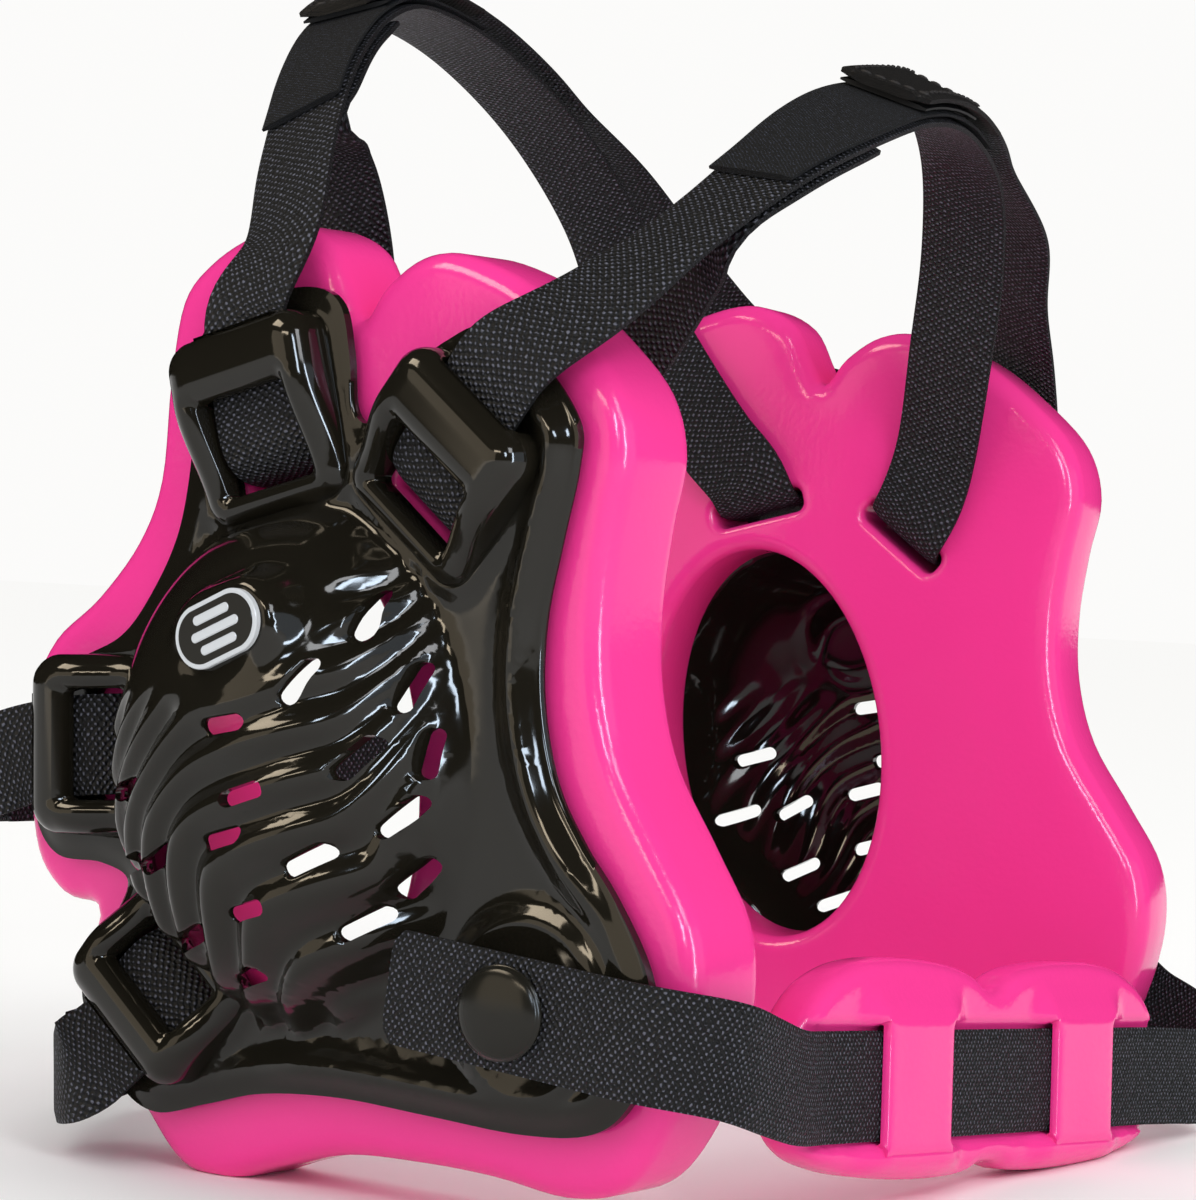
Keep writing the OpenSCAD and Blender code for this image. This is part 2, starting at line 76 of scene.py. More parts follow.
PAD_OUTLINE = [
    (20, 152), (29, 151), (38, 147), (44, 141), (47, 128), (49, 112), (54, 102), (63, 93), (73, 86),
    (78, 77), (79, 64), (77, 50), (71, 43), (63, 41), (65, 34), (65, 25), (57, 15), (51, 7), (44, 0),
    (35, -2), (24, 1), (10, 4), (-6, 4), (-20, 3), (-34, 1), (-44, 3), (-51, 10), (-56, 20), (-59, 32),
    (-58, 43), (-52, 54), (-45, 66), (-42, 78), (-42, 90), (-44, 102), (-46.5, 113), (-44, 123),
    (-36, 132), (-26, 140), (-14, 145), (-6, 145), (1, 141), (5.5, 136), (8, 140), (12, 148),
]
SHELL_OUTLINE = [
    (12, 141), (24, 140), (33, 137), (36, 129), (37, 116), (40, 103), (46, 93), (53, 86), (64, 81.5),
    (71, 78), (73, 67), (72, 56), (67, 50), (57, 49), (51, 46), (55, 38), (61, 30), (60, 23), (53, 13),
    (45, 9), (34, 11), (22, 13.5), (6, 14), (-12, 12.5), (-30, 11), (-43, 12), (-50, 17), (-54, 26),
    (-53, 36), (-47, 47), (-41, 55), (-36, 64), (-33.5, 76), (-34, 88), (-37, 100), (-40, 111),
    (-40, 118), (-33, 127), (-23, 133), (-14, 130), (-6, 123), (-1, 119), (3, 121), (4, 130), (6, 138),
]
EAR_HOLE = (17.5, 66, 23.5, 38, math.radians(6))
DOME = (14, 66, 34.5, 41)
BADGE = (11, 87)
BADGE_W = 45.0
BADGE_TURN = math.radians(70)
SNAP_UV = (-31.5, 30)
# Strap loops: pad slot u and v, direction from up towards the back, window length, bar length
LOOPS = {
    "front": (-11, 106, math.radians(-41), 10, 10),
    "rear": (18.5, 112, math.radians(12), 13, 9),
    "upper": (52, 68.5, math.radians(90), 7, 6.5),
    "lower": (38.5, 33.5, math.radians(138), 7, 7),
}
VENTS = [
    (-7, 89, 10), (-1.5, 79, 32), (-13.5, 78, 14), (-16, 68, 8), (-9, 67.5, 37), (10, 72.5, 82),
    (6, 62, 73), (-13, 58.5, 41), (-2, 52, 61), (-13, 49, 45), (-6, 42, 58), (34, 62, 74),
    (26, 51.5, 60), (23, 39, 64), (11, 55, 76), (8.5, 44, 76), (36, 50, 70), (14, 33, 70),
]


# ---- Frames --------------------------------------------------------------------------------------
def turned(points):
    """Directions in the head's frame, leaned back as the headgear stands."""
    p = np.atleast_2d(np.asarray(points, float))
    y = p[:, 1] * math.cos(LEAN) + p[:, 2] * math.sin(LEAN)
    z = p[:, 2] * math.cos(LEAN) - p[:, 1] * math.sin(LEAN)
    return np.column_stack([p[:, 0], y, z])


def on_table(points):
    """Head frame in millimetres to the row frame in metres."""
    return (turned(points) + [0, CENTRE_Y, LIFT]) * 0.001


def cup(side, u, v, w):
    """A point on a cup, in the head's frame."""
    x = HEAD_GAP / 2 - u * math.sin(TOE) + w * math.cos(TOE)
    y = u * math.cos(TOE) + w * math.sin(TOE)
    return np.stack(np.broadcast_arrays(side * x, y, v), axis=-1).astype(float)


def cup_direction(side, u, v):
    return np.array([-side * u * math.sin(TOE), u * math.cos(TOE), v], float)


def left(u, v, w):
    return cup(1, u, v, w)


def right(u, v, w):
    return cup(-1, u, v, w)


def left_dir(u, v):
    return cup_direction(1, u, v)


def right_dir(u, v):
    return cup_direction(-1, u, v)


def unit(v):
    return v / np.maximum(np.linalg.norm(v, axis=-1, keepdims=True), 1e-9)


def step(x):
    t = np.clip(x, 0, 1)
    return t * t * (3 - 2 * t)


def soft_max(a, b, k):
    h = np.maximum(k - np.abs(a - b), 0) / k
    return np.maximum(a, b) + h * h * k / 4


# ---- Curves --------------------------------------------------------------------------------------
def spline(points, f):
    """Catmull-Rom through the points, at fractional index f."""
    p = np.asarray(points, float)
    p = np.vstack([2 * p[0] - p[1], p, 2 * p[-1] - p[-2]])
    i = min(int(f), len(p) - 4)
    t = f - i
    a, b, c, d = p[i : i + 4]
    return ((-a + 3 * b - 3 * c + d) * t**3 + (2 * a - 5 * b + 4 * c - d) * t**2 + (c - a) * t + 2 * b) / 2


def closed(points, n):
    p = np.asarray(points, float)
    m = len(p)
    ring = np.vstack([p[-1:], p, p[:2]])
    return np.array([spline(ring, 1 + i + k / n) for i in range(m) for k in range(n)])


def oval(cx, cy, a, b, n, turn=0.0):
    t = np.arange(n) * 2 * math.pi / n
    x, y = a * np.cos(t), b * np.sin(t)
    cos, sin = math.cos(turn), math.sin(turn)
    return np.column_stack([cx + x * cos + y * sin, cy - x * sin + y * cos])


def round_box(x0, x1, y0, y1, r, n=5):
    corners = [(x1 - r, y1 - r, 0), (x0 + r, y1 - r, 90), (x0 + r, y0 + r, 180), (x1 - r, y0 + r, 270)]
    return np.array([
        (cx + r * math.cos(math.radians(a + 90 * k / n)), cy + r * math.sin(math.radians(a + 90 * k / n)))
        for cx, cy, a in corners for k in range(n + 1)
    ])


def densely(ring, longest):
    """The ring with its long sides cut up."""
    out = []
    for a, b in zip(ring, np.roll(ring, -1, axis=0)):
        n = max(1, math.ceil(np.linalg.norm(b - a) / longest))
        out += [a + (b - a) * k / n for k in range(n)]
    return np.array(out)


def at_loop(loop, xy):
    """Loop coordinates (across, along the strap) to the cup's u and v."""
    u, v, turn = loop[:3]
    x, y = xy[:, 0], xy[:, 1]
    return np.column_stack([
        u + x * math.cos(turn) + y * math.sin(turn), v - x * math.sin(turn) + y * math.cos(turn)
    ])


def in_loop(loop, u, v):
    du, dv, turn = u - loop[0], v - loop[1], loop[2]
    return du * math.cos(turn) - dv * math.sin(turn), du * math.sin(turn) + dv * math.cos(turn)


# ---- Materials -----------------------------------------------------------------------------------
def material(name, color, roughness, **inputs):
    m = bpy.data.materials.new(name)
    m.use_nodes = True
    shader = m.node_tree.nodes["Principled BSDF"]
    shader.inputs["Base Color"].default_value = (*color, 1)
    shader.inputs["Roughness"].default_value = roughness
    for key, value in inputs.items():
        shader.inputs[key.replace("_", " ")].default_value = value
    m.diffuse_color = (*color, 1)
    return m


def node(m, kind, links=(), **settings):
    """A new node with its settings, and links as (input, node, output)."""
    n = m.node_tree.nodes.new(kind)
    for key, value in settings.items():
        if hasattr(n, key):
            setattr(n, key, value)
        else:
            n.inputs[key].default_value = value
    for entry, source, output in links:
        m.node_tree.links.new(source.outputs[output], n.inputs[entry])
    return n


def bump(m, height, output, distance, strength=1.0):
    b = node(m, "ShaderNodeBump", [("Height", height, output)], Distance=distance, Strength=strength)
    shader = m.node_tree.nodes["Principled BSDF"]
    m.node_tree.links.new(b.outputs["Normal"], shader.inputs["Normal"])


def ramp(m, source, output, stops):
    r = node(m, "ShaderNodeValToRGB", [("Fac", source, output)])
    elements = r.color_ramp.elements
    while len(elements) < len(stops):
        elements.new(0.5)
    for element, (place, color) in zip(elements, stops):
        element.position = place
        element.color = (*color, 1)
    return r


def weave(name, dark, light, across, along, depth, roughness, glint):
    """Woven or pile textile: thread cells in the strap's own millimetres, with painted glints: the base colour
    turns to the light colour where noise meets the thread tops.
    """
    m = material(name, dark, roughness, Specular_IOR_Level=0.2)
    uv = node(m, "ShaderNodeUVMap", uv_map="strap")
    warp = node(m, "ShaderNodeTexNoise", [("Vector", uv, 0)], Scale=0.9, Detail=1.0)
    shake = node(m, "ShaderNodeVectorMath", [(0, warp, "Color")], operation="SCALE", Scale=0.55)
    place = node(m, "ShaderNodeVectorMath", [(0, uv, 0), (1, shake, 0)], operation="ADD")
    parts = node(m, "ShaderNodeSeparateXYZ", [(0, place, 0)])
    waves = []
    for axis, pitch in (("X", across), ("Y", along)):
        scaled = node(m, "ShaderNodeMath", [(0, parts, axis)], operation="MULTIPLY")
        scaled.inputs[1].default_value = 2 * math.pi / pitch
        waves.append(node(m, "ShaderNodeMath", [(0, scaled, 0)], operation="SINE"))
    cells = node(m, "ShaderNodeMath", [(0, waves[0], 0), (1, waves[1], 0)], operation="MULTIPLY")
    height = node(m, "ShaderNodeMapRange", [("Value", cells, 0)])
    height.inputs["From Min"].default_value = -1
    glint_and_bump_noise = node(m, "ShaderNodeTexNoise", [("Vector", uv, 0)], Scale=1.1, Detail=3.0, Roughness=0.7)
    glint_mask = node(m, "ShaderNodeMath", [(0, glint_and_bump_noise, "Fac"), (1, height, 0)], operation="MULTIPLY")
    # painted highlight: the light colour is a glint painted on the thread tops where the noise is high
    tint = ramp(m, glint_mask, 0, [(0.0, dark), (glint, dark), (min(glint + 0.16, 1), light)])
    m.node_tree.links.new(tint.outputs[0], m.node_tree.nodes["Principled BSDF"].inputs["Base Color"])
    tall = node(m, "ShaderNodeMath", [(0, height, 0), (1, glint_and_bump_noise, "Fac")], operation="ADD")
    bump(m, tall, 0, depth)
    return m


def foam(name, color):
    m = material(name, color, 0.16, Specular_IOR_Level=0.32)
    place = node(m, "ShaderNodeTexCoord")
    waves = node(m, "ShaderNodeTexNoise", [("Vector", place, "Object")], Scale=38.0, Detail=1.0)
    specks = node(m, "ShaderNodeTexNoise", [("Vector", place, "Object")], Scale=900.0, Detail=2.0)
    part = node(m, "ShaderNodeMath", [(0, specks, "Fac")], operation="MULTIPLY")
    part.inputs[1].default_value = 0.05
    both = node(m, "ShaderNodeMath", [(0, waves, "Fac"), (1, part, 0)], operation="ADD")
    bump(m, both, 0, 0.0008)
    return m


PINK = (0.98, 0.048, 0.325)
THREADS = (0.012, 0.012, 0.013)
MATERIALS = {
    "pad_foam": foam("pad_foam", PINK),
    "shell": material("shell", (0.011, 0.0095, 0.0065), 0.09, Specular_IOR_Level=0.36),
    "badge": material("badge", (0.62, 0.65, 0.68), 0.25),
    "snap_metal": material("snap_metal", (0.62, 0.63, 0.65), 0.3, Metallic=1.0),
    "snap_cap": material("snap_cap", (0.013, 0.012, 0.009), 0.2, Specular_IOR_Level=0.25),
    # the second colour of each weave is its painted thread glint
    "webbing": weave("webbing", THREADS, (0.15, 0.155, 0.2), 1.6, 1.25, 0.0008, 0.6, 0.34),
    "chin_webbing": weave("chin_webbing", THREADS, (0.15, 0.155, 0.2), 1.4, 1.15, 0.0008, 0.6, 0.34),
    "tab": weave("tab", (0.015, 0.013, 0.012), (0.04, 0.035, 0.035), 1.2, 1.4, 0.0003, 0.65, 0.4),
    "loop_tape": weave("loop_tape", THREADS, (0.07, 0.08, 0.12), 0.8, 0.7, 0.0006, 0.9, 0.38),
    "hook_tape": material("hook_tape", (0.008, 0.008, 0.009), 0.6, Specular_IOR_Level=0.2),
}


# ---- Meshes --------------------------------------------------------------------------------------
def build(name, points, faces, slot, body, uv=None, sharp=50, in_row=False):
    """A mesh from head-frame millimetres, riding on a body, with its finish."""
    mesh = bpy.data.meshes.new(name)
    place = np.asarray(points, float) if in_row else on_table(points)
    mesh.from_pydata(place.tolist(), [], [list(map(int, f)) for f in faces])
    if uv is not None:
        layer = mesh.uv_layers.new(name="strap")
        corner = np.empty(len(mesh.loops), np.int32)
        mesh.loops.foreach_get("vertex_index", corner)
        layer.data.foreach_set("uv", np.asarray(uv, np.float32)[corner].ravel())
    work = bmesh.new()
    work.from_mesh(mesh)
    bmesh.ops.recalc_face_normals(work, faces=work.faces)
    for edge in work.edges:
        edge.smooth = len(edge.link_faces) != 2 or edge.calc_face_angle(0) < math.radians(sharp)
    for face in work.faces:
        face.smooth = True
    work.to_mesh(mesh)
    work.free()
    mesh.materials.append(MATERIALS[slot])
    thing = bpy.data.objects.new(name, mesh)
    bpy.context.scene.collection.objects.link(thing)
    if body:
        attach(thing, body)
    return thing


def distance_to(ring, p):
    """Distance from each point to a closed ring."""
    a, b = ring, np.roll(ring, -1, axis=0)
    ab = b - a
    best = np.full(len(p), 1e9)
    for i in range(len(a)):
        t = np.clip(((p - a[i]) @ ab[i]) / max(ab[i] @ ab[i], 1e-9), 0, 1)
        best = np.minimum(best, np.hypot(*(p - a[i] - t[:, None] * ab[i]).T))
    return best


def inside(ring, p):
    a, b = ring, np.roll(ring, -1, axis=0)
    hits = np.zeros(len(p), int)
    for (ax, ay), (bx, by) in zip(a, b):
        if ay == by:
            continue
        crosses = (ay > p[:, 1]) != (by > p[:, 1])
        hits += crosses & (p[:, 0] < ax + (p[:, 1] - ay) * (bx - ax) / (by - ay))
    return hits % 2 == 1


def plate(outline, holes, spacing, rows, contours=()):
    """Triangles that fill an outline with holes: rows of points follow each edge, contours where the
    height changes fast, and a grid fills the rest."""
    rings = [outline, *holes]
    low, high = outline.min(0), outline.max(0)
    xs = np.arange(low[0], high[0], spacing)
    ys = np.arange(low[1], high[1], spacing * 0.87)
    grid = np.array([(x + (j % 2) * spacing / 2, y) for j, y in enumerate(ys) for x in xs])

    def away(p):
        return np.min([distance_to(r, p) for r in rings], axis=0)

    def kept(p):
        good = inside(outline, p)
        for hole in holes:
            good &= ~inside(hole, p)
        return good

    grid = grid[kept(grid)]
    grid = grid[away(grid) > max(rows) + 0.5 * spacing]
    for contour in contours:
        grid = grid[distance_to(contour, grid) > 0.4 * spacing]
    points = [grid]
    for contour in contours:
        p = contour[kept(contour)]
        points.append(p[away(p) > 0.6 * spacing])
    for ring in rings:
        along = unit(np.roll(ring, -1, axis=0) - np.roll(ring, 1, axis=0))
        normal = np.column_stack([along[:, 1], -along[:, 0]])
        for row in rows:
            for sign in (-1, 1):
                p = ring + sign * row * normal
                p = p[kept(p)]
                points.append(p[away(p) > 0.92 * row])
    count = 0
    coords, edges = [], []
    for ring in rings:
        coords.append(ring)
        n = len(ring)
        edges += [(count + i, count + (i + 1) % n) for i in range(n)]
        count += n
    coords = np.vstack(coords + points)
    result = delaunay_2d_cdt([Vector(c) for c in coords], edges, [], 1, 1e-4)
    flat = np.array([tuple(v) for v in result[0]])
    triangles = np.array([tuple(f) for f in result[2]])
    triangles = triangles[kept(flat[triangles].mean(axis=1))]
    used, numbers = np.unique(triangles, return_inverse=True)
    return flat[used], [tuple(map(int, f)) for f in numbers.reshape(-1, 3)]


def open_edges(triangles):
    seen = {}
    for f in triangles:
        for a, b in zip(f, f[1:] + f[:1]):
            seen[(a, b)] = True
    return [(a, b) for (a, b) in seen if (b, a) not in seen]


def two_sided(flat, triangles, top, bottom):
    """A closed solid between two height fields over the same triangles."""
    n = len(flat)
    faces = list(triangles) + [(c + n, b + n, a + n) for a, b, c in triangles]
    faces += [(b, a, a + n, b + n) for a, b in open_edges(triangles)]
    uvw = np.vstack([np.column_stack([flat, top]), np.column_stack([flat, bottom])])
    return uvw, faces


def rounding(d, r):
    """How far a face drops at distance d from an edge rounded with radius r."""
    return r - np.sqrt(np.maximum(r * r - (r - np.minimum(d, r)) ** 2, 0))


# ---- Ear pads ------------------------------------------------------------------------------------
def pad_slot(loop):
    return at_loop(loop, round_box(-WEB_W / 2 - 1, WEB_W / 2 + 1, -2.4, 2.4, 1.8))


def ear_pad(side):
    name = f"{side}_ear_pad"
    outline = closed(PAD_OUTLINE, 5)
    hole = oval(EAR_HOLE[0], EAR_HOLE[1], EAR_HOLE[2], EAR_HOLE[3], 96, EAR_HOLE[4])
    slots = [densely(pad_slot(loop), 1.5) for loop in LOOPS.values()]
    rows = [0.2, 0.6, 1.2, 2.0, 3.0, 4.2]
    flat, triangles = plate(outline, [hole, *slots], 3.2, rows)
    from_edge = distance_to(outline, flat)
    drop = rounding(from_edge, 4.0)
    drop = np.maximum(drop, rounding(distance_to(hole, flat), 3.0))
    for slot in slots:
        drop = np.maximum(drop, rounding(distance_to(slot, flat), 1.6))
    sag = 0.5 * np.exp(-from_edge / 12)
    uvw, faces = two_sided(flat, triangles, PAD_T - drop - sag, drop + sag)
    head = cup(SIDES[side], uvw[:, 0], uvw[:, 1], uvw[:, 2])
    row = on_table(head)
    row[:, 2] = np.maximum(row[:, 2], 0.0)
    pad = build(name + "_foam", row, faces, "pad_foam", "headgear", sharp=75, in_row=True)
    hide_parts(name)
    return pad


# ---- Ear shells ----------------------------------------------------------------------------------
FIELD_LOW = np.array([-64.0, 0.0])
FIELD_STEP = 0.5
FIELD_SIZE = (292, 300)
LOOP_RIM = 5.6
LOOP_LOW = -7.0
LOOP_OVER = 1.6
LOOP_CORNER = 5.0
BAR_TOP = PLATE_TOP + 9.2
SILL_TOP = PLATE_TOP + 4.4
LOOP_HALF = WEB_W / 2 + 0.9


def swirl(u, v):
    """Rib pattern on the dome: 0 in the creases, 1 on the crests. The creases climb from the back edge,
    run forward nearly level and turn up at the front."""
    start = 22 - 14 * step((60 - v) / 28)
    d = start - u
    climb = 0.3 * d - 2.0 * np.log1p(np.exp(-(d - 4) / 2.6)) + 0.11 * np.maximum(d - 27, 0) ** 2
    wave = np.sin(math.pi * (v - climb - 37.7) / 7.8)
    return np.sqrt(wave**2 + 0.012) - 0.1


def loop_outline(loop):
    half = LOOP_HALF + LOOP_RIM
    return round_box(-half, half, LOOP_LOW, loop[3] + loop[4] + LOOP_OVER, LOOP_CORNER, 8)


def loop_rise(loop, x, y):
    """Height of a strap loop's pillow-shaped frame, and how far inside its outline each place lies."""
    window, bar = loop[3], loop[4]
    high = window + bar + LOOP_OVER
    dx = np.abs(x) - (LOOP_HALF + LOOP_RIM - LOOP_CORNER)
    dy = np.abs(y - (LOOP_LOW + high) / 2) - ((high - LOOP_LOW) / 2 - LOOP_CORNER)
    outer = LOOP_CORNER - np.hypot(np.maximum(dx, 0), np.maximum(dy, 0)) - np.minimum(np.maximum(dx, dy), 0)
    middle = (window - 2.4) / 2
    inner = np.hypot(np.maximum(np.abs(x) - LOOP_HALF, 0), np.maximum(np.abs(y - middle) - middle - 2.4, 0))
    top = SILL_TOP + (BAR_TOP - SILL_TOP) * step((y + 4) / (window + 5))
    return top - rounding(np.maximum(outer, 0), 4.6) - rounding(inner + 0.4, 3.2), outer


def shell_height(u, v, outline, ribbed):
    """Height of the shell's outer face over the cup's plane."""
    edge = distance_to(outline, np.column_stack([u, v]))
    height = np.full(len(u), PLATE_TOP)
    # rolled lip along the edge, tallest at the front and with a long bulge at the bottom
    front = step((-8 - u) / 12) * step((v - 40) / 14)
    low_bulge = step((30 - v) / 8) * step((24 - u) / 12)
    lip = 1.4 + 2.6 * front
    height += lip * np.exp(-(((edge - 4.0) / 2.4) ** 2)) * (1 - low_bulge)
    height += 3.0 * np.exp(-(((edge - 4.6) / 2.7) ** 2)) * low_bulge
    height -= 1.2 * (1 - step(edge / 1.8))
    # dome with ribs, steep at the back and easing into a valley at the front
    s = np.hypot((u - DOME[0]) / DOME[2], (v - DOME[1]) / DOME[3])
    ribs = swirl(u, v) * ribbed + 0.65 * (1 - ribbed)
    du, dv = u - BADGE[0], v - BADGE[1]
    badge_away = np.hypot(du, dv)
    on_dome = step((badge_away - 12) / 5) * step((103 - v) / 12) * step((u + 23) / 11)
    on_dome *= 1 - step((v - 70) / 10) * step((u - 12) / 8)
    s = s * (1 - 0.06 * (ribs - 0.4) * on_dome * step((s - 0.6) / 0.3))
    t = np.minimum(s, 1)
    steep = (1 - t**2.6) ** 0.62
    gentle = (1 - t**2.3) ** 0.95
    ease = step((8 - u) / 24)
    dome = SHELL_W + (DOME_RISE + WALL) * (steep * (1 - ease) + gentle * ease)
    dome += 3.8 * (ribs - 0.65) * on_dome * step((1.02 - s) / 0.22)
    dome += 1.4 * np.exp(-((badge_away / 14) ** 6)) * step((1 - s) / 0.2)
    height = soft_max(height, dome, 6.0)
    # flat oval seat for the badge, with a fine groove round it
    along = -du * math.sin(BADGE_TURN) + dv * math.cos(BADGE_TURN)
    across = du * math.cos(BADGE_TURN) + dv * math.sin(BADGE_TURN)
    oval_r = np.hypot(np.maximum(np.abs(along) - 3.6, 0), across)
    seat = step((8.2 - oval_r) / 1.6)
    height = height * (1 - seat) + BADGE_W * seat
    height -= 0.6 * np.exp(-(((oval_r - 9.2) / 0.9) ** 2))
    # raised disc behind the snap
    snap_r = np.hypot(u - SNAP_UV[0], v - SNAP_UV[1])
    boss = step((17.0 - snap_r) / 3.5)
    height = height * (1 - boss) + (PLATE_TOP + 2.0) * boss
    height += 1.1 * np.exp(-(((snap_r - 13.2) / 1.5) ** 2))
    # fillets round the strap loops, with the way under each bar left clear
    for loop in LOOPS.values():
        x, y = in_loop(loop, u, v)
        _, inward = loop_rise(loop, x, y)
        near = step((inward + 1.5) / 2)
        height = height * (1 - near) + np.minimum(height, PLATE_TOP) * near
        fillet = PLATE_TOP + 2.6 * np.exp(-np.abs(inward) / 1.1)
        clear = (np.abs(x) < LOOP_HALF + 0.4) & (y > -2.4)
        height = np.where(clear, height, soft_max(height, fillet, 1.0))
    return height


def shell_field(outline, ribbed, spread):
    """The outer height on an even grid, with every crease eased over the spread in millimetres."""
    u, v = np.meshgrid(*(FIELD_LOW[k] + FIELD_STEP * np.arange(FIELD_SIZE[k]) for k in (0, 1)), indexing="ij")
    field = shell_height(u.ravel(), v.ravel(), outline, ribbed).reshape(FIELD_SIZE)
    reach = np.arange(-6, 7)
    weights = np.exp(-((reach * FIELD_STEP / spread) ** 2) / 2)
    weights /= weights.sum()
    for axis in (0, 1):
        field = sum(w * np.roll(field, k, axis) for w, k in zip(weights, reach))
    return field


def read_field(field, u, v):
    """Bilinear reading of a field."""
    x = np.clip((u - FIELD_LOW[0]) / FIELD_STEP, 0, FIELD_SIZE[0] - 1.01)
    y = np.clip((v - FIELD_LOW[1]) / FIELD_STEP, 0, FIELD_SIZE[1] - 1.01)
    i, j = x.astype(int), y.astype(int)
    fx, fy = x - i, y - j
    near = field[i, j] * (1 - fx) + field[i + 1, j] * fx
    far = field[i, j + 1] * (1 - fx) + field[i + 1, j + 1] * fx
    return near * (1 - fy) + far * fy


def loop_window(loop):
    return at_loop(loop, round_box(-LOOP_HALF, LOOP_HALF, -2.4, loop[3] - 0.5, 1.2))


def vent_ring(u, v, turn):
    ring = round_box(-1.3, 1.3, -4.0, 4.0, 1.25, 4)
    return at_loop((u, v, -math.radians(turn)), ring)


def dome_ring(s):
    return oval(DOME[0], DOME[1], DOME[2] * s, DOME[3] * s, 230)


def inset(ring, d):
    """The points of a ring moved inwards by d, without those that come too near another side."""
    along = unit(np.roll(ring, -1, axis=0) - np.roll(ring, 1, axis=0))
    normal = np.column_stack([along[:, 1], -along[:, 0]])
    if not inside(ring, ring[:1] + 0.3 * normal[:1])[0]:
        normal = -normal
    p = ring + d * normal
    return p[distance_to(ring, p) > 0.95 * d]


def ear_shell(side):
    name = f"{side}_ear_shell"
    outline = closed(SHELL_OUTLINE, 8)
    vents = [densely(vent_ring(*vent), 1.2) for vent in VENTS]
    windows = [densely(loop_window(loop), 1.0) for loop in LOOPS.values()]
    spacing = 0.85
    contours = [dome_ring(s) for s in (0.85, 0.88, 0.905, 0.93, 0.95, 0.97, 0.985, 1.0, 1.02)]
    contours += [inset(outline, d) for d in (1.0, 1.7, 2.5, 3.3, 4.1, 4.9, 5.7, 6.5, 7.4, 8.3, 9.3, 10.3)]
    flat, triangles = plate(outline, vents + windows, spacing, [0.5], contours)
    u, v = flat.T
    outer = shell_field(outline, 1, 0.85)
    inner = shell_field(outline, 0.35, 1.2)
    top = read_field(outer, u, v)
    slope_u = read_field(np.gradient(inner, FIELD_STEP, axis=0), u, v)
    slope_v = read_field(np.gradient(inner, FIELD_STEP, axis=1), u, v)
    depth = 1.7 * np.minimum(np.sqrt(1 + slope_u**2 + slope_v**2), 3.5)
    bottom = np.maximum(read_field(inner, u, v) - depth, SHELL_W)
    bottom = np.minimum(bottom, top - 0.8)
    uvw, faces = two_sided(flat, triangles, top, bottom)
    points = cup(SIDES[side], uvw[:, 0], uvw[:, 1], uvw[:, 2])
    shell = build(name + "_moulding", points, faces, "shell", "headgear", sharp=80)
    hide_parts(name)
    for key, loop in LOOPS.items():
        strap_loop(side, name, key, loop)


def strap_loop(side, name, key, loop):
    """A loop's smooth frame: sill and columns stand on the plate, and the bar leaves room for the strap."""
    window = loop[3]
    outline = densely(loop_outline(loop), 0.8)
    hole = densely(round_box(-LOOP_HALF, LOOP_HALF, -2.4, window, 1.2), 0.8)
    flat, triangles = plate(outline, [hole], 0.9, [0.15, 0.5, 1.1, 1.8])
    x, y = flat.T
    top = loop_rise(loop, x, y)[0]
    raised = step((LOOP_HALF + 0.4 - np.abs(x)) / 0.8) * step((y - window + 1.4) / 0.8)
    under_bar = RUN_W + 1.2 + 0.8 * rounding(distance_to(outline, flat), 1.6)
    bottom = (PLATE_TOP - 0.6) * (1 - raised) + under_bar * raised
    uvw, faces = two_sided(flat, triangles, np.maximum(top, bottom + 0.2), bottom)
    uv = at_loop(loop, uvw[:, :2])
    head = cup(SIDES[side], uv[:, 0], uv[:, 1], uvw[:, 2])
    frame_mesh = build(f"{side}_{key}_loop", head, faces, "shell", "headgear", sharp=80)
    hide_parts(name)


def badge(side):
    """A plain oval badge: dark centre, pale raised rim and three pale bars, with no mark of any maker."""
    base = []
    faces = []

    def pill(a, b, w0, w1, shift=0.0):
        start = len(base)
        n = 48
        rings = []
        for half_a, half_b, w in ((a, b, w0), (a, b, w1 - 0.15), (a - 0.15, b - 0.15, w1)):
            ring = []
            for k in range(n):
                t = 2 * math.pi * k / n
                along = math.copysign(half_a - half_b, math.cos(t)) + half_b * math.cos(t)
                ring.append((along, shift + half_b * math.sin(t), w))
            rings.append(ring)
        for ring in rings:
            base.extend(ring)
        for j in range(2):
            for k in range(n):
                p, q = start + j * n + k, start + j * n + (k + 1) % n
                faces.append((p, q, q + n, p + n))
        faces.append(tuple(range(start + 2 * n, start + 3 * n)))
        faces.append(tuple(range(start, start + n)))

    def finish(name, slot):
        p = np.array(base)
        along, across, w = p.T
        u = BADGE[0] - along * math.sin(BADGE_TURN) + across * math.cos(BADGE_TURN)
        v = BADGE[1] + along * math.cos(BADGE_TURN) + across * math.sin(BADGE_TURN)
        thing = build(name, cup(SIDES[side], u, v, w), faces, slot, "headgear", sharp=40)
        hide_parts(f"{side}_badge")
        base.clear()
        faces.clear()

    pill(8.5, 5.0, BADGE_W + 0.1, BADGE_W + 1.1)
    finish(f"{side}_badge_rim", "badge")
    pill(7.8, 4.3, BADGE_W + 0.6, BADGE_W + 1.2)
    finish(f"{side}_badge_field", "snap_cap")
    for shift in (-2.4, 0, 2.4):
        pill(5.0 - abs(shift) * 0.5, 0.75, BADGE_W + 0.9, BADGE_W + 1.4, shift)
    finish(f"{side}_badge_bars", "badge")


# ---- Snaps ---------------------------------------------------------------------------------------
SNAP_Y = SNAP_UV[0] * math.cos(TOE) + (PLATE_TOP + 2.5) * math.sin(TOE)
SNAP_X = HEAD_GAP / 2 - SNAP_UV[0] * math.sin(TOE) + (PLATE_TOP + 2.5) * math.cos(TOE)
SNAP_Z = SNAP_UV[1]


